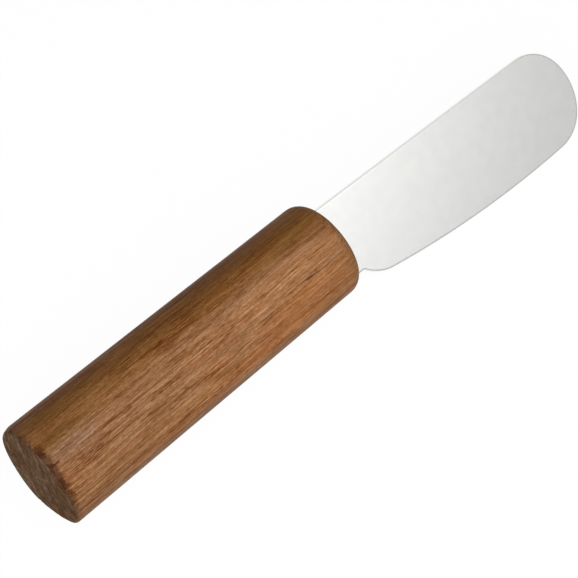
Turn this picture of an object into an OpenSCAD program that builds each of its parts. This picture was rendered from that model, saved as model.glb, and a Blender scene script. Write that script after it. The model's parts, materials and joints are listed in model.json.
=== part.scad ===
// Small butter knife: a turned wooden grip with a flat, blunt steel blade let into its front.
// Lengths are in millimetres and angles in degrees.
// The pieces are drawn along the grip's axis, from the butt face at x = 0 to the tip, with the
// blade's straight back towards +Y and its belly towards -Y. They are then laid down together
// as the knife lies on a table: on the side of the grip and the edge of the belly.

/* [Grip] */
// Length of the wooden grip, from the butt face to the front face
grip_len = 75.2; // [60:0.1:95]
// Diameter of the grip at the butt
butt_d = 22.1; // [20:0.1:27]
// Diameter of the grip at the front
front_d = 20.5; // [19.4:0.1:24]
// Radius that breaks the edge of the butt face
butt_round_r = 0.7; // [0.4:0.1:3]
// Radius of the rounded front shoulder
shoulder_r = 3; // [1:0.1:5]

/* [Blade] */
// Length of blade that stands out in front of the grip
blade_len = 65; // [55:0.1:80]
// Thickness of the steel sheet
sheet_t = 1.2; // [0.8:0.1:2]
// Radius that breaks the edges of the sheet
edge_r = 0.35; // [0.1:0.05:0.35]
// Height of the straight back above the axis, where it meets the grip
back_h = 6.95; // [5:0.05:7.5]
// Angle at which the back falls towards the tip
back_fall = 1.6; // [0:0.1:3]
// Depth of the belly below the axis, where it is deepest
belly_h = 15.5; // [14.5:0.1:16.5]
// Distance in front of the grip where the belly is deepest
belly_x = 48; // [44:0.1:54]
// Radius of the long belly curve
belly_r = 231; // [180:1:400]
// Radius of the curve across the end of the blade
tip_r = 12.5; // [11.5:0.1:16]
// How far above the middle of its width the blade reaches furthest
tip_rise = 1; // [0:0.1:2]
// Radius of the corner between the back and the end
back_corner_r = 8.4; // [5:0.1:9.5]
// Radius of the corner between the end and the belly
belly_corner_r = 9.7; // [5:0.1:10]

/* [Heel and neck] */
// Radius of the rounded heel
heel_r = 9; // [7:0.1:11]
// Distance in front of the grip at which the heel's curve would begin
heel_x = 1.2; // [1:0.1:3]
// Depth of the neck's lower edge below the axis
neck_h = 8.7; // [8:0.1:9]
// Radius of the hollow between the neck and the heel
neck_fillet_r = 0.8; // [0.4:0.1:1.2]

/* [Fixing inside the grip] */
// Depth of the slot that takes the neck
slot_depth = 3; // [1.5:0.1:5]
// Play of the neck in its slot, both sides together
slot_play = 0.1; // [0.05:0.05:0.3]
// Length of the tang behind the slot
tang_len = 36; // [20:0.1:45]
// Width of the tang
tang_w = 5; // [4:0.1:7]
// Cut-off at each corner of the tang's end
tang_chamfer = 1.2; // [0.5:0.1:1.6]
// Radius of the key notches in the tang's edges
notch_r = 0.8; // [0.4:0.1:1.2]
// Least thickness of adhesive between the tang and its bore
glue_gap = 0.3; // [0.15:0.05:0.6]
// Depth of bore left under the end of the tang
bore_rest = 2; // [1:0.1:4]
// Point angle of the drill that made the bore
drill_angle = 118; // [90:1:140]
// How far the adhesive lies below the grip's front face
glue_sink = 0.3; // [0.1:0.1:1]

/* [Hidden] */

// Key notches along each edge of the tang
notch_count = 3;
// Pieces that each curve is drawn in
round_steps = 6;
corner_steps = 14;
tip_steps = 8;
belly_steps = 24;
heel_steps = 10;
fillet_steps = 5;
edge_steps = 3;
// Facets round the turned grip and its bore
turn_fn = 96;
bore_fn = 48;
// Overrun of the cuts past the faces that they open
overrun = 1;

// Places along the axis
slot_x = grip_len - slot_depth;
tang_x = slot_x - tang_len;
bore_x = tang_x - bore_rest;
tip_x = grip_len + blade_len;
// Depth below the axis at which the blade reaches furthest
tip_h = (belly_h - back_h + blade_len * tan(back_fall)) / 2 - tip_rise;

// The bore clears the corners of the tang by the adhesive's least thickness
bore_r = norm([tang_w, sheet_t]) / 2 + glue_gap;
drill_point = bore_r / tan(drill_angle / 2);

// Points along an arc, without its first point
function arc(centre, r, from, to, steps) =
    [for (i = [1:steps]) centre + r * turned(from + (to - from) * i / steps)];
function turned(angle) = [cos(angle), sin(angle)];
function heading(a, b) = atan2(b.y - a.y, b.x - a.x);
// Crossing of two circles, on the right hand of the line from the first centre to the second
function crossing(a, a_r, b, b_r) =
    let (gap = norm(b - a),
         way = (b - a) / gap,
         along = (a_r * a_r - b_r * b_r + gap * gap) / (2 * gap),
         aside = sqrt(a_r * a_r - along * along))
    a + along * way + aside * [way.y, -way.x];

// The turned side is a straight taper, which lies on the table along its whole length
taper = atan((butt_d - front_d) / (2 * grip_len));
// Centre of a round of radius r that blends into the side at x
function round_centre(x, r) = [x, butt_d / 2 - x * tan(taper) - r / cos(taper)];

butt_c = round_centre(butt_round_r, butt_round_r);
shoulder_c = round_centre(grip_len - shoulder_r, shoulder_r);

// Half outline of the grip: distance along the axis, distance from the axis
grip_profile = concat(
    [[0, 0], [0, butt_c.y]],
    arc(butt_c, butt_round_r, 180, 90 - taper, round_steps),
    [shoulder_c + shoulder_r * turned(90 - taper)],
    arc(shoulder_c, shoulder_r, 90 - taper, 0, round_steps),
    [[grip_len, 0]]);

// Centres of the blade's curves, each of which runs into the next without a corner
back_in = [-sin(back_fall), -cos(back_fall)];
back_way = [cos(back_fall), -sin(back_fall)];
tip_c = [tip_x - tip_r, -tip_h];
belly_c = [grip_len + belly_x, belly_r - belly_h];
back_corner_c =
    let (start = [grip_len, back_h] + back_corner_r * back_in,
         away = start - tip_c,
         near = away * back_way,
         inner = tip_r - back_corner_r)
    start + (sqrt(near * near - away * away + inner * inner) - near) * back_way;
belly_corner_c =
    crossing(tip_c, tip_r - belly_corner_r, belly_c, belly_r - belly_corner_r);
heel_c =
    let (x = grip_len + heel_x + heel_r,
         aside = x - belly_c.x,
         inner = belly_r - heel_r)
    [x, belly_c.y - sqrt(inner * inner - aside * aside)];
fillet_c =
    let (y = -neck_h - neck_fillet_r,
         drop = heel_c.y - y,
         apart = heel_r + neck_fillet_r)
    [heel_c.x - sqrt(apart * apart - drop * drop), y];

// Outline of the blade and neck, drawn in by an inset. Its square end is the neck's seat.
function blade_outline(inset) = concat(
    [[slot_x, back_h + slot_depth * tan(back_fall) - inset / cos(back_fall)],
     back_corner_c - (back_corner_r - inset) * back_in],
    arc(back_corner_c, back_corner_r - inset, 90 - back_fall,
        heading(tip_c, back_corner_c), corner_steps),
    arc(tip_c, tip_r - inset, heading(tip_c, back_corner_c),
        heading(tip_c, belly_corner_c), tip_steps),
    arc(belly_corner_c, belly_corner_r - inset, heading(tip_c, belly_corner_c),
        heading(belly_c, belly_corner_c), corner_steps),
    arc(belly_c, belly_r - inset, heading(belly_c, belly_corner_c),
        heading(belly_c, heel_c), belly_steps),
    arc(heel_c, heel_r - inset, heading(belly_c, heel_c),
        heading(heel_c, fillet_c), heel_steps),
    arc(fillet_c, neck_fillet_r + inset, heading(fillet_c, heel_c), 90, fillet_steps),
    [[slot_x, inset - neck_h]]);

// Inset and height of each layer of the sheet, from face to face round its broken edge
core_t = sheet_t / 2 - edge_r;
half_layers = [for (i = [0:edge_steps])
    let (angle = 90 * i / edge_steps)
    [edge_r * (1 - cos(angle)), core_t + edge_r * sin(angle)]];
layers = concat(
    [for (i = [edge_steps:-1:0]) [half_layers[i][0], -half_layers[i][1]]],
    half_layers);

// Lying on its taper, the grip carries its axis down towards the blade
pitch = taper;
axis_h = max([for (p = grip_profile) p.x * sin(pitch) + p.y * cos(pitch)]);
// The knife then rolls until the belly's rounded edge meets the table too
function roll_to_table(p) =
    let (depth = -p.y - edge_r,
         drop = (axis_h - p.x * sin(pitch) - edge_r) / cos(pitch))
    drop < norm([depth, core_t]) ? asin(drop / norm([depth, core_t])) - atan2(core_t, depth) : 90;
roll = min([for (p = blade_outline(0)) if (p.y < -neck_h) roll_to_table(p)]);

// Sides of the box that the resting knife fills, seen from above
grip_x = min([for (p = grip_profile) p.x * cos(pitch) - p.y * sin(pitch)]);
grip_y = max([for (p = grip_profile) p.y]);
blade_x = max([for (p = blade_outline(0)) p.x * cos(pitch) + p.y * sin(roll) * sin(pitch)]);
blade_y = edge_r + core_t * sin(roll)
    - min([for (p = blade_outline(edge_r)) p.y * cos(roll)]);
mid_x = (grip_x + blade_x) / 2;
mid_y = (grip_y - max(grip_y, blade_y)) / 2;

// From the drawn place to the table, with the origin under the middle of the knife
module lie_on_table() {
    translate([-mid_x, -mid_y, axis_h]) rotate([roll, pitch, 0]) children();
}

// Turns a half outline about the knife's axis
module turn(outline, facets) {
    rotate([0, 90, 0])
        rotate_extrude($fn = facets)
            polygon([for (p = outline) [p.y, p.x]]);
}

// Blind drilled bore, up to a given place along the axis
module bore(end_x) {
    turn([[bore_x - drill_point, 0], [bore_x, bore_r], [end_x, bore_r], [end_x, 0]], bore_fn);
}

// Slot that takes the neck across the grip's front
module slot() {
    low_y = -neck_h - slot_play / 2;
    high_y = back_h + slot_depth * tan(back_fall) + slot_play / 2;
    translate([slot_x, low_y, -(sheet_t + slot_play) / 2])
        cube([slot_depth + overrun, high_y - low_y, sheet_t + slot_play]);
}

// Tang with a blunt end and key notches, up to the neck's seat
module tang() {
    linear_extrude(sheet_t, center = true)
        difference() {
            polygon([
                [tang_x, tang_w / 2 - tang_chamfer],
                [tang_x + tang_chamfer, tang_w / 2],
                [slot_x, tang_w / 2],
                [slot_x, -tang_w / 2],
                [tang_x + tang_chamfer, -tang_w / 2],
                [tang_x, tang_chamfer - tang_w / 2]]);
            for (i = [1:notch_count], side = [-1, 1])
                translate([tang_x + tang_len * i / (notch_count + 1), side * tang_w / 2])
                    circle(r = notch_r, $fn = bore_fn);
        }
}

// Blade and neck: layers of the outline, closed at both faces
module blade_plate() {
    rim = len(blade_outline(0));
    top = (len(layers) - 1) * rim;
    polyhedron(
        points = [for (layer = layers, p = blade_outline(layer[0])) [p.x, p.y, layer[1]]],
        faces = concat(
            [[for (i = [rim - 1:-1:0]) i]],
            [for (row = [0:len(layers) - 2], i = [0:rim - 1], half = [0, 1])
                let (here = row * rim + i,
                     next = row * rim + (i + 1) % rim)
                half == 0 ? [here, next, next + rim] : [here, next + rim, here + rim]],
            [[for (i = [0:rim - 1]) top + i]]));
}

module handle() {
    color("#9a6b43")
        lie_on_table()
            difference() {
                turn(grip_profile, turn_fn);
                slot();
                bore(grip_len + overrun);
            }
}

module blade() {
    color("#dcdcda")
        lie_on_table()
            union() {
                blade_plate();
                tang();
            }
}

// Adhesive that fills the bore round the tang and the sides of the neck
module tang_adhesive() {
    color("#5b4028")
        lie_on_table()
            difference() {
                bore(grip_len - glue_sink);
                tang();
                translate([slot_x, -bore_r - overrun, -sheet_t / 2])
                    cube([slot_depth, 2 * (bore_r + overrun), sheet_t]);
            }
}

handle();
blade();
tang_adhesive();
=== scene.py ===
# Small butter knife: a turned, oiled wooden grip with a blunt steel blade let into its front.
# Pieces are drawn in millimetres along the grip's axis, from the butt face at x = 0, with the
# blade's back towards +y, and are then laid on the table where the CAD part lies.
import json
import math

import bmesh
import bpy
from mathutils import Euler, Matrix, Vector, noise


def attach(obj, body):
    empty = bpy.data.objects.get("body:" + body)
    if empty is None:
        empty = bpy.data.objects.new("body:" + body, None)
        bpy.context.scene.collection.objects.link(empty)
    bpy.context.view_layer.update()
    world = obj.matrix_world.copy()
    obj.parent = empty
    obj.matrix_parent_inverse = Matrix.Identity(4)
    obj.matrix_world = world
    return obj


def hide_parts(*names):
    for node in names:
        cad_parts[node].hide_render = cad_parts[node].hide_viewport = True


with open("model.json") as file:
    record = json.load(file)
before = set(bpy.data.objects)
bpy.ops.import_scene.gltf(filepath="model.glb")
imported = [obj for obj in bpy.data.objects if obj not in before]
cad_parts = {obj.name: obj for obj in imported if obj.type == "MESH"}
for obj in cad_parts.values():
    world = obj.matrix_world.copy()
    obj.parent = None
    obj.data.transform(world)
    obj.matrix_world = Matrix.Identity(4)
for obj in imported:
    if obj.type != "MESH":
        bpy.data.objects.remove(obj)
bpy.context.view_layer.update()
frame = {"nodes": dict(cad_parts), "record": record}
cadNodes = frame["nodes"]
scene = bpy.context.scene
mm = 0.001

lie = {
    "butt": Vector(frame["record"]["mounts"][0]["pos_m"]),      # middle of the butt face
    "pitch": math.asin(frame["record"]["mounts"][0]["axis"][2]),
    "roll": math.radians(37.2469),                              # until the belly meets the table
}
restTurn = Euler((lie["roll"], lie["pitch"], 0))
toTable = Matrix.Translation(lie["butt"]) @ restTurn.to_matrix().to_4x4() @ Matrix.Scale(mm, 4)


def linear(hexColour):
    # sRGB hex to linear RGBA
    parts = [int(hexColour[i:i + 2], 16) / 255 for i in (1, 3, 5)]
    return [c / 12.92 if c <= 0.04045 else ((c + 0.055) / 1.055) ** 2.4 for c in parts] + [1.0]


def newMaterial(name):
    made = bpy.data.materials.new(name)
    made.use_nodes = True
    made.node_tree.nodes.clear()
    return made


def addNode(tree, kind, sockets=None, **settings):
    # one node, with its settings and its sockets' values or links; a node gives its first output
    made = tree.nodes.new("ShaderNode" + kind)
    for key, value in settings.items():
        setattr(made, key, value)
    for key, value in (sockets or {}).items():
        if isinstance(value, bpy.types.Node):
            value = value.outputs[0]
        if isinstance(value, bpy.types.NodeSocket):
            tree.links.new(value, made.inputs[key])
        else:
            made.inputs[key].default_value = value
    return made


def drawnPlace(tree):
    # Object coordinates turned back into the drawn frame, in millimetres
    coords = addNode(tree, "TexCoord")
    return addNode(tree, "Mapping", {
        0: coords.outputs["Object"], 1: lie["butt"], 2: restTurn, 3: (mm, mm, mm),
    }, vector_type="TEXTURE")


# Wood: an open-pored hardwood such as acacia, turned, sanded and rubbed with oil. Layers of tan,
# olive and orange brown run along it, under fine dark threads where the pores are cut open.

wood = {
    "tan": "#a2744f",           # pinkish tan of the paler layers
    "olive": "#8e6638",         # yellowish olive layers
    "orange": "#9b653d",        # orange-brown layers
    "pale": "#b8865c",          # paler streaks
    "bright": "#b97948",        # bright orange-brown streaks
    "amber": "#79511f",         # dark yellowish streaks
    "honey": "#96652f",         # yellower wood
    "brown": "#7b4f2a",         # browner wood along the top
    "red": "#7a4c2e",           # darker brown: over the whole top, and in a few small patches
    "dusky": "#8a6a55",         # greyer tone: a patch near the butt, and painted shade and grey reflection along the lower side
    "dark": "#4f2d13",          # single dark marks
    "endBrown": "#6f563c",      # end grain
    "endRed": "#71533f",
    "arris": "#4a2812",         # bruised wood along the butt's edge
    "ringTurn": math.radians(35),       # growth layers against the blade
    "wander": 1.5,              # how far the grain drifts from side to side, in mm
    "sideRadius": 11.0,         # for the places on the unrolled side
    "greenPower": 1.4,          # oiled wood turns redder in its dark marks, paler in its light ones
    "bluePower": 2.0,
    # noise along the grain: sizes in mm along it, across the layers and in them, then place in the
    # noise, detail and roughness. Threads, fibres, flecks and rays are really about 0.1 mm wide,
    # too fine to show, so they are drawn up to about 0.3 mm wide.
    "patterns": {
        "layers": ((80, 2.6, 7), 11, 2.0, 0.5),
        "warmth": ((60, 2.2, 5), 370, 2.0, 0.5),
        "fibres": ((7, 0.28, 0.34), 140, 2.0, 0.65),
        "flecks": ((0.8, 0.24, 0.24), 610, 1.0, 0.5),
        "streaks": ((40, 0.5, 0.9), 77, 1.0, 0.5),
        "threads": ((4.5, 0.22, 0.28), 250, 1.0, 0.5),
        "longThreads": ((17, 0.24, 0.34), 333, 1.0, 0.5),
        "clumps": ((13, 1.1, 2.4), 530, 2.0, 0.6),
        "reddish": ((8, 1.6, 2.4), 71, 2.0, 0.5),       # from here on for the end grain
        "growth": ((6, 8, 1.0), 44, 3.0, 0.6),
        "rays": ((6, 0.24, 3.0), 91, 1.0, 0.5),
        "mottle": ((6, 2.6, 1.2), 144, 4.0, 0.7),
        "blotches": ((8, 5, 3), 12, 2.0, 0.5),
    },
    # figure of this piece of wood, each place in mm along it and in degrees round it, then half
    # length and half width in mm, strength and tone
    "patches": [
        # darker brown over the whole top side
        (36.0, 72, 66.0, 7.2, 0.95, "brown"),
        (8.0, 33, 11.0, 1.3, 0.85, "olive"),
        (9.0, 62, 12.0, 1.6, 0.50, "olive"),
        (7.0, 49, 7.0, 1.1, 0.60, "red"),
        (38.0, 46, 62.0, 3.6, 0.60, "honey"),
        (66.0, 58, 13.0, 2.4, 0.40, "amber"),
        (65.0, 41, 10.0, 1.6, 0.45, "amber"),
        (46.0, 39, 5.0, 1.2, 0.40, "amber"),
        (5.0, 39, 9.0, 1.4, 0.40, "amber"),
        (11.0, 3, 6.0, 1.1, 0.40, "red"),
        (46.0, 12, 5.0, 1.0, 0.35, "red"),
        (16.0, 5, 20.0, 3.6, 0.45, "tan"),
        (60.0, 14, 17.0, 3.6, 0.75, "pale"),
        (40.0, 12, 16.0, 2.2, 0.45, "pale"),
        (60.0, -14, 16.0, 2.6, 0.55, "bright"),
        (50.0, -37, 30.0, 3.0, 0.65, "bright"),
        (29.0, -28, 15.0, 2.3, 0.45, "pale"),
        (55.5, -50, 6.0, 2.0, 0.40, "pale"),
        (7.0, 21, 9.0, 3.4, 0.45, "dusky"),
        # painted shade and grey reflection, along the whole lower side
        (36.0, -63, 60.0, 3.0, 0.45, "dusky"),
        (19.0, -5, 6.0, 1.5, 0.25, "brown"),
        (33.0, 70, 20.0, 1.8, 0.45, "honey"),
        (5.0, 31, 7.0, 1.3, 0.35, "amber"),
        (9.0, 66, 12.0, 1.6, 0.60, "amber"),
        (70.5, 52, 5.5, 6.0, 0.35, "amber"),
        (37.5, 12, 5.5, 1.7, 0.45, "pale"),
        (33.0, -40, 11.0, 1.9, 0.40, "pale"),
        (37.5, -15, 6.0, 1.6, 0.35, "bright"),
        (14.0, 49, 10.0, 1.5, 0.30, "brown"),
        (23.0, -43, 18.0, 1.6, 0.45, "bright"),
        (51.0, -22, 8.0, 1.0, 0.40, "orange"),
        (10.0, -41, 12.0, 1.3, 0.50, "red"),
        (52.0, -8, 3.6, 0.90, 0.45, "red"),
        (17.5, 13, 9.0, 0.20, 0.65, "dark"),
        (38.0, 11, 5.0, 0.18, 0.50, "dark"),
        (60.0, 5, 1.4, 0.22, 0.60, "dark"),
        (63.3, -2, 2.2, 0.24, 0.55, "dark"),
        (68.0, -12, 1.8, 0.20, 0.50, "dark"),
        (1.9, 15, 0.9, 0.35, 0.90, "dark"),
    ],
    # where the dark threads crowd together
    "crowds": [
        (26.0, 4, 6.5, 1.0),
        (10.0, 0, 14.0, 2.6),
        (40.0, 54, 6.5, 0.9),
        (35.0, 43, 14.0, 1.5),
        (42.0, 8, 9.0, 1.2),
        (30.0, -15, 14.0, 1.4),
        (62.0, -2, 10.0, 1.4),
        (60.0, 14, 12.0, 1.6),
        (34.0, -38, 20.0, 2.0),
        (64.0, -34, 10.0, 1.6),
    ],
}


def makeWood():
    material = newMaterial("oiledAcacia")
    tree = material.node_tree
    place = drawnPlace(tree)
    # the grain wanders a little from side to side along the grip
    slow = addNode(tree, "Mapping", {0: place, 3: (34, 16, 16)}, vector_type="TEXTURE")
    slow = addNode(tree, "TexNoise", {"Vector": slow, "Scale": 1.0, "Detail": 2.0})
    middle, reach = (0.5, 0.5, 0.5), (0, wood["wander"], wood["wander"])
    drift = addNode(tree, "VectorMath", {0: slow.outputs["Color"], 1: middle}, operation="SUBTRACT")
    drift = addNode(tree, "VectorMath", {0: drift, 1: reach}, operation="MULTIPLY")
    grain = addNode(tree, "VectorMath", {0: place, 1: drift}, operation="ADD")
    pattern = {}
    for name, (sizes, start, detail, roughness) in wood["patterns"].items():
        layered = addNode(tree, "Mapping", {
            0: grain, 1: (start, start, start), 2: (wood["ringTurn"], 0, 0), 3: sizes,
        }, vector_type="TEXTURE")
        pattern[name] = addNode(tree, "TexNoise", {
            "Vector": layered, "Scale": 1.0, "Detail": detail, "Roughness": roughness})

    def product(levels, curve="SMOOTHSTEP", share=1.0):
        # each level, with where it starts and ends and what it gives there, multiplies the share
        for level, low, high, atLow, atHigh in levels:
            part = addNode(tree, "MapRange", {0: level, 1: low, 2: high, 3: atLow, 4: atHigh},
                           interpolation_type=curve)
            share = addNode(tree, "Math", {0: share, 1: part}, operation="MULTIPLY")
        return share

    def darkened(tone, shade):
        green = addNode(tree, "Math", {0: shade, 1: wood["greenPower"]}, operation="POWER")
        blue = addNode(tree, "Math", {0: shade, 1: wood["bluePower"]}, operation="POWER")
        shades = addNode(tree, "CombineColor", {0: shade, 1: green, 2: blue})
        return addNode(tree, "Mix", {0: 1.0, 6: tone, 7: shades},
                       data_type="RGBA", blend_type="MULTIPLY").outputs[2]

    # the figure, laid out on the unrolled side
    parts = addNode(tree, "SeparateXYZ", {0: grain})
    turn = addNode(tree, "Math", {0: parts.outputs[1], 1: parts.outputs[2]}, operation="ARCTAN2")
    aroundSide = addNode(tree, "Math", {0: turn, 1: wood["sideRadius"]}, operation="MULTIPLY")
    unrolled = addNode(tree, "CombineXYZ", {0: parts, 1: aroundSide})

    def spot(x, angle, halfLength, halfWidth, strength):
        middle = (x, math.radians(angle) * wood["sideRadius"], 0)
        inSpot = addNode(tree, "Mapping", {0: unrolled, 1: middle, 3: (halfLength, halfWidth, 1)},
                         vector_type="TEXTURE")
        reach = addNode(tree, "VectorMath", {0: inSpot}, operation="LENGTH").outputs["Value"]
        return product([(reach, 1.15, 0.2, 0, strength)])

    shares = [
        (product([(pattern["layers"], 0.27, 0.45, 0, 1)]), "tan"),
        (product([(pattern["warmth"], 0.48, 0.70, 0, 0.8)]), "orange"),
    ]
    shares += [(spot(*patch[:5]), patch[5]) for patch in wood["patches"]]
    tone = linear(wood["olive"])
    for share, name in shares:
        tone = addNode(tree, "Mix", {0: share, 6: tone, 7: linear(wood[name])},
                       data_type="RGBA").outputs[2]

    # dark threads, a few tenths of a millimetre wide, come in clumps
    gathered = product([(pattern["clumps"], 0.42, 0.70, 0, 0.8)])
    for crowd in wood["crowds"]:
        gathered = addNode(tree, "Math", {0: gathered, 1: spot(*crowd, 1.0)}, operation="MAXIMUM")
    crowded = product([(gathered, 0, 1, 0.28, 1)], "LINEAR")
    short = product([(pattern["threads"], 0.50, 0.61, 0, 1)], share=crowded)
    long = product([(pattern["longThreads"], 0.52, 0.60, 0, 1)], share=gathered)
    dark = addNode(tree, "Math", {0: short, 1: long}, operation="MAXIMUM")
    # pores, cut open lengthwise by the turning, are short dashes about 0.2 mm wide, drawn 0.4 mm
    cells = addNode(tree, "Mapping", {0: grain, 3: (2.2, 0.40, 0.40)}, vector_type="TEXTURE")
    cells = addNode(tree, "TexVoronoi", {"Vector": cells, "Scale": 1.0})
    picked = addNode(tree, "SeparateColor", {0: cells.outputs["Color"]})
    pores = product([(cells, 0.40, 0.16, 0, 1), (picked, 0.35, 0.75, 0, 1)], share=crowded)
    shade = product([
        (pattern["fibres"], 0.28, 0.72, 0.72, 1.27),
        (pattern["flecks"], 0.25, 0.75, 0.79, 1.20),
        (pattern["streaks"], 0.30, 0.70, 0.89, 1.11),
        (dark, 0, 1, 1.0, 0.56),
        (pores, 0, 1, 1.0, 0.55),
    ], "LINEAR")
    # the marks are calmer near the front
    calm = product([(parts, 50, 63, 1.15, 0.80)])
    tone = darkened(tone, addNode(tree, "Math", {0: shade, 1: calm}, operation="POWER"))

    # end grain shows at the butt and its round, and comes in gradually over the front shoulder
    along = addNode(tree, "SeparateXYZ", {0: place})
    ragged = addNode(tree, "Mapping", {0: place, 1: (20, 20, 20), 3: (1.6, 1.1, 1.1)},
                     vector_type="TEXTURE")
    ragged = addNode(tree, "TexNoise", {"Vector": ragged, "Scale": 1.0, "Detail": 3.0})
    shifted = addNode(tree, "Math", {0: 0.5, 1: ragged}, operation="SUBTRACT")
    edgeX = addNode(tree, "Math", {0: shifted, 1: 2.6, 2: along}, operation="MULTIPLY_ADD")
    endShare = 0.0
    for level in ((edgeX, 0.6, 0.2, 0, 1), (along, 74.1, 75.2, 0, 0.85), (along, 0.2, 0.05, 0, 1)):
        endShare = addNode(tree, "Math", {0: endShare, 1: product([level])}, operation="MAXIMUM")
    # growth layers, fine rays across them, and pores as dots, also drawn about 0.4 mm wide
    holes = addNode(tree, "Mapping", {0: grain, 3: (3.0, 0.55, 0.55)}, vector_type="TEXTURE")
    holes = addNode(tree, "TexVoronoi", {"Vector": holes, "Scale": 1.0})
    kept = addNode(tree, "SeparateColor", {0: holes.outputs["Color"]})
    dots = product([(holes, 0.46, 0.18, 0, 1), (kept, 0.25, 0.6, 0, 1)])
    endShade = product([
        (pattern["growth"], 0.34, 0.66, 0.86, 1.16),
        (pattern["mottle"], 0.38, 0.62, 0.74, 1.28),
        (pattern["blotches"], 0.38, 0.60, 0.80, 1.10),
    ])
    endShade = product([
        (pattern["rays"], 0.3, 0.7, 0.90, 1.10),
        (dots, 0, 1, 1.0, 0.40),
    ], "LINEAR", endShade)
    redShare = product([(pattern["reddish"], 0.42, 0.58, 0, 1)])
    endTone = addNode(tree, "Mix", {
        0: redShare, 6: linear(wood["endBrown"]), 7: linear(wood["endRed"]),
    }, data_type="RGBA").outputs[2]
    # the butt's edge is bruised dark, most of all on top
    blots = addNode(tree, "Mapping", {0: place, 1: (5, 5, 5), 3: (1.4, 0.9, 0.9)},
                    vector_type="TEXTURE")
    blots = addNode(tree, "TexNoise", {"Vector": blots, "Scale": 1.0})
    arris = product([
        (edgeX, 1.75, 0.7, 0, 1),
        (along, 0.02, 0.15, 0, 1),
        (blots, 0.40, 0.55, 0.68, 1),
        (turn, -0.80, -0.20, 0.3, 1),
        (turn, 0.85, 0.6, 0.3, 1),
    ])
    for share, over in ((endShare, darkened(endTone, endShade)), (arris, linear(wood["arris"]))):
        tone = addNode(tree, "Mix", {0: share, 6: tone, 7: over}, data_type="RGBA").outputs[2]

    endRoughness = addNode(tree, "Math", {0: endShare, 1: 0.95}, operation="MULTIPLY")
    sideRoughness = product([(pattern["fibres"], 0.3, 0.7, 0.64, 0.54)])
    roughness = addNode(tree, "Math", {0: sideRoughness, 1: endRoughness}, operation="MAXIMUM")
    raised = addNode(tree, "Math", {0: pattern["fibres"], 1: 0.35}, operation="MULTIPLY")
    height = addNode(tree, "Math", {0: raised, 1: pores}, operation="SUBTRACT")
    bump = addNode(tree, "Bump", {"Height": height, "Strength": 0.5, "Distance": 0.06 * mm})
    shader = addNode(tree, "BsdfPrincipled", {
        "Base Color": tone, "Roughness": roughness, "Normal": bump, "Specular IOR Level": 0.08})
    addNode(tree, "OutputMaterial", {0: shader})
    return material


# Steel: stamped stainless sheet, tumbled in stone until it is satin, so it mirrors only broad light
# and shade. Its specks are really about 0.1 mm wide, and are drawn about 0.9 mm wide to show.

steel = {
    "base": "#b5b5b3",
    "cloud": "#b3b3b2",
    "edge": "#e8e8e6",          # painted highlight: the sheet's edges and their rounds are painted brighter than its faces
    "roughness": 0.257,
    "unevenness": 0.004,        # in the roughness
    "cloudsPerMm": 0.45,        # each about 2 mm wide
    "specksPerMm": 1.1,
}


def makeSteel():
    material = newMaterial("tumbledStainlessSteel")
    tree = material.node_tree
    place = drawnPlace(tree)
    clouds = addNode(tree, "TexNoise", {
        "Vector": place, "Scale": steel["cloudsPerMm"], "Detail": 3.0})
    specks = addNode(tree, "TexNoise", {
        "Vector": place, "Scale": steel["specksPerMm"], "Detail": 3.0})
    normal = addNode(tree, "TexCoord").outputs["Normal"]
    upright = restTurn.to_matrix() @ Vector((0, 0, 1))
    facing = addNode(tree, "VectorMath", {0: normal, 1: upright}, operation="DOT_PRODUCT")
    facing = addNode(tree, "Math", {0: facing.outputs["Value"]}, operation="ABSOLUTE")
    tone = linear(steel["base"])
    # the edges' brighter colour, given where the normal turns away from the faces', is a painted
    # highlight
    for level, low, high, name in ((clouds, 0.35, 0.65, "cloud"), (facing, 0.96, 0.6, "edge")):
        share = addNode(tree, "MapRange", {0: level, 1: low, 2: high},
                        interpolation_type="SMOOTHSTEP")
        tone = addNode(tree, "Mix", {0: share, 6: tone, 7: linear(steel[name])},
                       data_type="RGBA").outputs[2]
    least, most = steel["roughness"] - steel["unevenness"], steel["roughness"] + steel["unevenness"]
    roughness = addNode(tree, "MapRange", {0: specks, 1: 0.3, 2: 0.7, 3: least, 4: most},
                        interpolation_type="SMOOTHSTEP")
    bump = addNode(tree, "Bump", {"Height": specks, "Strength": 0.02, "Distance": 0.015 * mm})
    shader = addNode(tree, "BsdfPrincipled", {
        "Base Color": tone, "Metallic": 1.0, "Roughness": roughness, "Normal": bump})
    addNode(tree, "OutputMaterial", {0: shader})
    return material


# Resin: two-part epoxy tinted brown, which set in the bore, so it is dull and a little lumpy

resin = {"dark": "#3c2818", "light": "#5a3f28", "roughness": 0.35, "lumpsPerMm": 1.4}


def makeResin():
    material = newMaterial("setBrownEpoxy")
    tree = material.node_tree
    place = drawnPlace(tree)
    lumps = addNode(tree, "TexNoise", {
        "Vector": place, "Scale": resin["lumpsPerMm"], "Detail": 2.0})
    tone = addNode(tree, "Mix", {0: lumps, 6: linear(resin["dark"]), 7: linear(resin["light"])},
                   data_type="RGBA").outputs[2]
    bump = addNode(tree, "Bump", {"Height": lumps, "Strength": 0.4, "Distance": 0.15 * mm})
    shader = addNode(tree, "BsdfPrincipled", {
        "Base Color": tone, "Roughness": resin["roughness"], "Normal": bump,
        "Specular IOR Level": 0.15})
    addNode(tree, "OutputMaterial", {0: shader})
    return material


def wholePiece(bm, name, material, smoothBelow=40):
    mesh = bpy.data.meshes.new(name)
    bm.to_mesh(mesh)
    bm.free()
    mesh.polygons.foreach_set("use_smooth", [True] * len(mesh.polygons))
    mesh.set_sharp_from_angle(angle=math.radians(smoothBelow))
    if material:
        mesh.materials.append(material)
    piece = bpy.data.objects.new(name, mesh)
    scene.collection.objects.link(piece)
    return piece


# Grip

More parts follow.
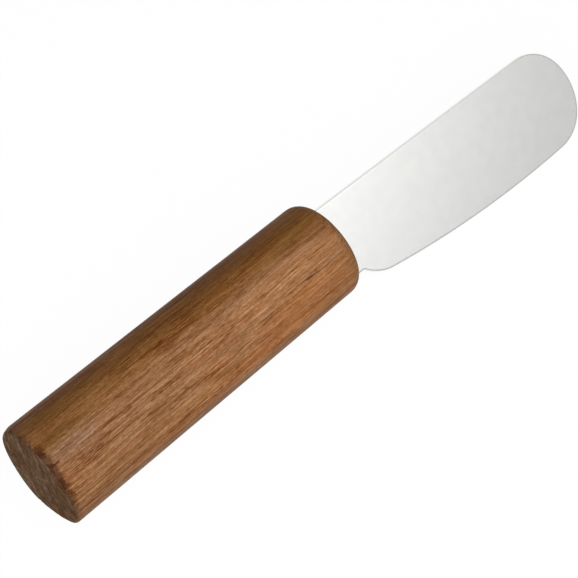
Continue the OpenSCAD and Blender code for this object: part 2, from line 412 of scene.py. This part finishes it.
grip = {
    "length": 75.2,
    "buttWidth": 22.1,
    "frontWidth": 20.5,
    "buttRound": 0.7,
    "shoulder": 3.0,
    "around": 360,          # facets round the grip
    "sideCuts": 96,         # rings along its side
    "arrisEnd": 2.4,        # side that is cut finely, for the chips
    "arrisCuts": 18,
    "buttCuts": 18,         # rings on the butt face
    "chipDepth": 0.28,      # splinters broken out of the butt's edge
    "chipSize": 0.8,
    "chipReach": (0.7, 1.1),        # how far they run from the edge, least and more
    # degrees round the edge, spread and depth of wear, and how far it reaches
    "wornPlaces": [(100, 15, 0.30), (140, 46, 0.36), (-112, 29, 0.57)],
    "wearReach": 1.8,
    "sandingDepth": 0.02,   # how uneven hand sanding left the side
    "sandingLength": 14,
    "slotDepth": 3.0,
    "slotTop": 7.084,
    "slotFoot": -8.75,
    "slotWidth": 1.3,
    "boreWidth": 5.742,
    "boreEnd": 34.2,        # where the drill's point begins
    "drillPoint": 1.725,
}


def lastVert(made):
    return [v for v in made["geom_last"] if isinstance(v, bmesh.types.BMVert)][0]


def walkTo(bm, vert, x, y):
    made = bmesh.ops.extrude_vert_indiv(bm, verts=[vert])["verts"][0]
    made.co = (x, y, 0)
    return made


def walkRound(bm, vert, centre, angle, steps):
    made = bmesh.ops.spin(bm, geom=[vert], cent=(centre[0], centre[1], 0), axis=(0, 0, 1),
                          angle=angle, steps=steps, use_merge=False, use_duplicate=False)
    return lastVert(made)


def takeOut(bm, cutters):
    # the solid bm less the cutters, by the exact boolean
    body = wholePiece(bm, "body", None)
    for cutter in cutters:
        tool = wholePiece(cutter, "cutter", None)
        cut = body.modifiers.new("cut", "BOOLEAN")
        cut.operation = "DIFFERENCE"
        cut.solver = "EXACT"
        cut.object = tool
    result = bmesh.new()
    result.from_object(body, bpy.context.evaluated_depsgraph_get())
    for spent in [body] + [m.object for m in body.modifiers]:
        bpy.data.objects.remove(spent)
    return result


def slotCutter():
    # box that takes the neck, past the front face
    made = bmesh.new()
    bmesh.ops.create_cube(made, size=1)
    depth, high = grip["slotDepth"] + 1, grip["slotTop"] - grip["slotFoot"]
    bmesh.ops.scale(made, vec=(depth, high, grip["slotWidth"]), verts=made.verts)
    middle = (grip["length"] + 1 - depth / 2, (grip["slotTop"] + grip["slotFoot"]) / 2, 0)
    bmesh.ops.translate(made, vec=middle, verts=made.verts)
    return made


def boreCutter():
    # drilled hole for the tang, past the front face
    made = bmesh.new()
    point = made.verts.new((grip["boreEnd"] - grip["drillPoint"], 0, 0))
    wall = walkTo(made, point, grip["boreEnd"], grip["boreWidth"] / 2)
    mouth = walkTo(made, wall, grip["length"] + 1, grip["boreWidth"] / 2)
    walkTo(made, mouth, grip["length"] + 1, 0)
    bmesh.ops.spin(made, geom=made.verts[:] + made.edges[:], cent=(0, 0, 0), axis=(1, 0, 0),
                   angle=math.tau, steps=64, use_merge=True, use_duplicate=False)
    bmesh.ops.remove_doubles(made, verts=made.verts, dist=0.0005)
    bmesh.ops.recalc_face_normals(made, faces=made.faces)
    return made


def wearGrip(bm):
    # only takes wood away: splinters and wear at the butt's edge, and what hand sanding left uneven
    halfButt = grip["buttWidth"] / 2
    for vert in bm.verts:
        x, across = vert.co.x, math.hypot(vert.co.y, vert.co.z)
        if across < 1:
            continue
        angle = math.atan2(vert.co.y, vert.co.z)
        outward = Vector((0, vert.co.y, vert.co.z)) / across
        rim = outward * halfButt / grip["chipSize"]
        fromEdge = max(x, 0) + max(halfButt - across, 0)
        chip = max(noise.noise(rim) + 0.4 * noise.noise(rim * 2.3 + Vector((9, 0, 0))) - 0.12, 0)
        least, more = grip["chipReach"]
        reach = least + more * abs(noise.noise(rim * 0.7 + Vector((31, 0, 0))))
        loss = min(chip * 1.2, 1) * grip["chipDepth"] * max(1 - fromEdge / reach, 0)
        for place, spread, depth in grip["wornPlaces"]:
            away = (math.degrees(angle) - place + 180) % 360 - 180
            worn = depth * math.exp(-abs(away / spread) ** 3)
            loss += worn * max(1 - fromEdge / grip["wearReach"], 0)
        vert.co += (Vector((1, 0, 0)) - outward) * loss * 0.7
        if x > 1.5 and across > 7:
            rise = Vector((x / grip["sandingLength"], 0, 0)) + outward * 1.6 + Vector((5, 5, 5))
            vert.co -= outward * grip["sandingDepth"] * (0.5 + 0.5 * noise.noise(rise))


def makeGrip(material):
    taper = math.atan((grip["buttWidth"] - grip["frontWidth"]) / (2 * grip["length"]))
    halfAt = lambda x: grip["buttWidth"] / 2 - x * math.tan(taper)
    shoulderX = grip["length"] - grip["shoulder"]
    buttR, shoulderR = grip["buttRound"], grip["shoulder"]
    buttMid = (buttR, halfAt(buttR) - buttR / math.cos(taper))
    frontMid = (shoulderX, halfAt(shoulderX) - shoulderR / math.cos(taper))
    bm = bmesh.new()
    centre = bm.verts.new((0, 0, 0))
    rim = walkTo(bm, centre, 0, buttMid[1])
    faceEdge = rim.link_edges[0]
    sideStart = walkRound(bm, rim, buttMid, -math.radians(90) - taper, 8)
    arrisEnd = walkTo(bm, sideStart, grip["arrisEnd"], halfAt(grip["arrisEnd"]))
    arrisEdge = arrisEnd.link_edges[0]
    sideEnd = walkTo(bm, arrisEnd, frontMid[0] + shoulderR * math.sin(taper),
                     frontMid[1] + shoulderR * math.cos(taper))
    sideEdge = sideEnd.link_edges[0]
    frontRim = walkRound(bm, sideEnd, frontMid, -math.radians(90) + taper, 10)
    walkTo(bm, frontRim, grip["length"], 0)
    bmesh.ops.subdivide_edges(bm, edges=[sideEdge], cuts=grip["sideCuts"])
    bmesh.ops.subdivide_edges(bm, edges=[arrisEdge], cuts=grip["arrisCuts"])
    bmesh.ops.subdivide_edges(bm, edges=[faceEdge], cuts=grip["buttCuts"])
    bmesh.ops.spin(bm, geom=bm.verts[:] + bm.edges[:], cent=(0, 0, 0), axis=(1, 0, 0),
                   angle=math.tau, steps=grip["around"], use_merge=True, use_duplicate=False)
    bmesh.ops.remove_doubles(bm, verts=bm.verts, dist=0.0005)
    bmesh.ops.recalc_face_normals(bm, faces=bm.faces)
    wearGrip(bm)
    bm = takeOut(bm, [slotCutter(), boreCutter()])
    bmesh.ops.transform(bm, matrix=toTable, verts=bm.verts)
    piece = wholePiece(bm, "woodGrip", material)
    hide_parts("handle")
    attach(piece, "root")
    return piece


# Blade

blade = {
    "seat": 72.2,           # where the neck sits at the bottom of its slot
    "seatTop": 7.034,
    "seatFoot": -8.7,
    "backEnd": (131.869, 5.367),
    # centre, angles from and to, and pieces of each curve, from the back round the end to the neck
    "curves": [
        (131.634, -3.030, 88.400, 16.336, 20),      # corner of back and end
        (127.700, -4.183, 16.336, -32.657, 16),     # end
        (130.057, -5.694, -32.657, -88.224, 18),    # corner of end and belly
        (123.200, 215.500, -88.224, -99.804, 40),   # belly
        (85.400, -3.258, -99.804, -140.438, 14),    # heel
        (77.845, -9.500, 39.562, 90.000, 8),        # hollow under the neck
    ],
    "sheet": 1.2,
    "edge": 0.35,           # round that tumbling leaves on the edges
    "hold": 0.1,            # ring of flat face that keeps the shading of the edge off the face
    "tangEnd": 36.2,
    "tangWidth": 5.0,
    "tangChamfer": 1.2,
    "notches": 3,
    "notchRadius": 0.8,
}


def tangOutline(bm, vert):
    # from the neck's lower seat round the tang to its upper seat
    half, end, cut = blade["tangWidth"] / 2, blade["tangEnd"], blade["tangChamfer"]
    notch = blade["notchRadius"]
    step = (blade["seat"] - end) / (blade["notches"] + 1)
    places = [end + step * (i + 1) for i in range(blade["notches"])]
    vert = walkTo(bm, vert, blade["seat"], -half)
    for x in reversed(places):
        vert = walkTo(bm, vert, x + notch, -half)
        vert = walkRound(bm, vert, (x, -half), math.pi, 12)
    for x, y in [(end + cut, -half), (end, cut - half), (end, half - cut), (end + cut, half)]:
        vert = walkTo(bm, vert, x, y)
    for x in places:
        vert = walkTo(bm, vert, x - notch, half)
        vert = walkRound(bm, vert, (x, half), math.pi, 12)
    return walkTo(bm, vert, blade["seat"], half)


def makeBlade(material):
    bm = bmesh.new()
    first = bm.verts.new((blade["seat"], blade["seatTop"], 0))
    vert = walkTo(bm, first, *blade["backEnd"])
    for x, y, fromAngle, toAngle, steps in blade["curves"]:
        vert = walkRound(bm, vert, (x, y), math.radians(toAngle - fromAngle), steps)
    vert = walkTo(bm, vert, blade["seat"], blade["seatFoot"])
    last = tangOutline(bm, vert)
    bm.edges.new((last, first))
    face = bmesh.ops.contextual_create(bm, geom=bm.edges[:])["faces"][0]
    risen = bmesh.ops.extrude_face_region(bm, geom=[face])["geom"]
    risen = [g for g in risen if isinstance(g, bmesh.types.BMVert)]
    bmesh.ops.translate(bm, vec=(0, 0, blade["sheet"]), verts=risen)
    bmesh.ops.translate(bm, vec=(0, 0, -blade["sheet"] / 2), verts=bm.verts)
    bmesh.ops.recalc_face_normals(bm, faces=bm.faces)
    rim = [e for e in bm.edges if abs(e.verts[0].co.z - e.verts[1].co.z) < 0.01
           and (e.verts[0].co.x + e.verts[1].co.x) / 2 > blade["seat"] + 0.01]
    bmesh.ops.bevel(bm, geom=rim, offset=blade["edge"], offset_type="OFFSET", segments=5,
                    profile=0.5, affect="EDGES", material=-1, clamp_overlap=False)
    flats = sorted(bm.faces, key=lambda f: f.calc_area())[-2:]
    bmesh.ops.inset_individual(bm, faces=flats, thickness=blade["hold"], use_even_offset=True)
    bmesh.ops.transform(bm, matrix=toTable, verts=bm.verts)
    piece = wholePiece(bm, "bladeSheet", material, 32)
    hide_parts("blade")
    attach(piece, "root")
    return piece


# Table, light and camera

studio = {
    "aim": lie["butt"] + Vector((61.1, -3.432, 2.057)) * mm,
    "cameraAzimuth": -43.625,
    "cameraElevation": 59.543,
    "cameraDistance": 0.483,
    "lens": 155.7,
    "sensor": 36.0,
    "softbox": {"azimuth": -32.2, "elevation": 51.4, "distance": 0.6, "spin": 38.6,
                "width": 1.372, "height": 0.743, "power": 6.4},
    "roomLevel": 0.10,      # light from all round
    "paper": "#b4b4b4",
    "paperGlow": 1.07,      # what the camera and gloss see of the table
    "paperSeen": 0.9,
}


def lookFrom(azimuth, elevation, distance):
    a, e = math.radians(azimuth), math.radians(elevation)
    back = Vector((math.sin(a) * math.cos(e), -math.cos(a) * math.cos(e), math.sin(e)))
    turn = (-back).to_track_quat("-Z", "Y")
    return Matrix.Translation(studio["aim"] + back * distance) @ turn.to_matrix().to_4x4()


def makeCamera():
    data = bpy.data.cameras.new("photoCamera")
    data.sensor_fit = "HORIZONTAL"
    data.sensor_width = studio["sensor"]
    data.lens = studio["lens"]
    data.clip_start = 0.01
    data.clip_end = 20
    camera = bpy.data.objects.new("photoCamera", data)
    scene.collection.objects.link(camera)
    camera.matrix_world = lookFrom(
        studio["cameraAzimuth"], studio["cameraElevation"], studio["cameraDistance"])
    scene.camera = camera


def makeLight(name):
    box = studio[name]
    data = bpy.data.lights.new(name, "AREA")
    data.shape = "RECTANGLE"
    data.size = box["width"]
    data.size_y = box["height"]
    data.energy = box["power"]
    lamp = bpy.data.objects.new(name, data)
    scene.collection.objects.link(lamp)
    spin = Matrix.Rotation(math.radians(box["spin"]), 4, "Z")
    lamp.matrix_world = lookFrom(box["azimuth"], box["elevation"], box["distance"]) @ spin


def seenShare(tree):
    # 1 for rays that see the background: from the camera, in gloss or through glass
    rays = addNode(tree, "LightPath").outputs
    share = 0.0
    for name in ("Is Glossy Ray", "Is Transmission Ray", "Is Camera Ray"):
        share = addNode(tree, "Math", {0: share, 1: rays[name]}, operation="MAXIMUM")
    return share


def makeTable():
    # white paper, matt and lit as brightly as the room, so that it runs on into the background
    bm = bmesh.new()
    bmesh.ops.create_grid(bm, x_segments=1, y_segments=1, size=4)
    material = newMaterial("whitePaperTable")
    tree = material.node_tree
    paper = addNode(tree, "BsdfDiffuse", {"Color": linear(studio["paper"])})
    glow = addNode(tree, "Emission", {"Color": (1, 1, 1, 1), "Strength": studio["paperGlow"]})
    share = addNode(tree, "Math", {0: seenShare(tree), 1: studio["paperSeen"]},
                    operation="MULTIPLY")
    mixed = addNode(tree, "MixShader", {0: share, 1: paper, 2: glow})
    addNode(tree, "OutputMaterial", {0: mixed})
    wholePiece(bm, "table", material)


def makeWorld():
    world = bpy.data.worlds.new("whiteRoom")
    world.use_nodes = True
    scene.world = world
    tree = world.node_tree
    tree.nodes.clear()
    seen = addNode(tree, "MapRange", {0: seenShare(tree), 3: studio["roomLevel"]})
    sky = addNode(tree, "Background", {"Color": (1, 1, 1, 1), "Strength": seen})
    addNode(tree, "OutputWorld", {0: sky})


scene.view_settings.view_transform = "Standard"
makeCamera()
makeWorld()
makeTable()
makeLight("softbox")
print("stage: camera, light and table")

woodMaterial = makeWood()
steelMaterial = makeSteel()
resinMaterial = makeResin()
print("materials: wood, steel and resin")

makeGrip(woodMaterial)
makeBlade(steelMaterial)
cadNodes["tang_adhesive"].material_slots[0].material = resinMaterial
print("pieces: grip, blade and adhesive")
